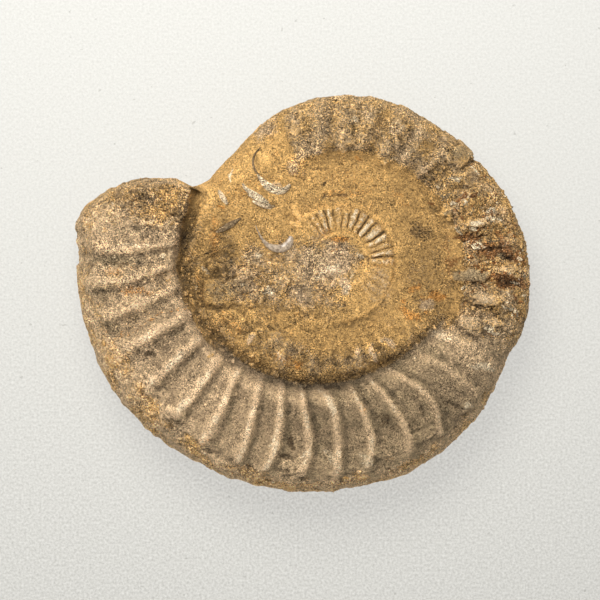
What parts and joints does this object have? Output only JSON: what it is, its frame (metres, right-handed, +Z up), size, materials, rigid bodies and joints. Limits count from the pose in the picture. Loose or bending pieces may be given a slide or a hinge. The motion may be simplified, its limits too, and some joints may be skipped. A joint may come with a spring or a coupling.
{
  "type": "ammonite fossil",
  "caption": "Ammonite fossil in ochre matrix, lying on one flank: a ribbed outer whorl round a filled umbilicus with a small inner coil.",
  "frame": {"origin": "on the surface it lies on, under the centre of the stone's box", "axes": "+X across the stone from its broken young end on the left, +Y towards the matrix side, +Z up through the upper flank"},
  "size_m": [0.1998, 0.1746, 0.0509],
  "materials": {
    "stone": "matt, gritty and weathered"
  },
  "bodies": {
    "root": {"ammonite_fossil": "stone"}
  },
  "joints": []
}
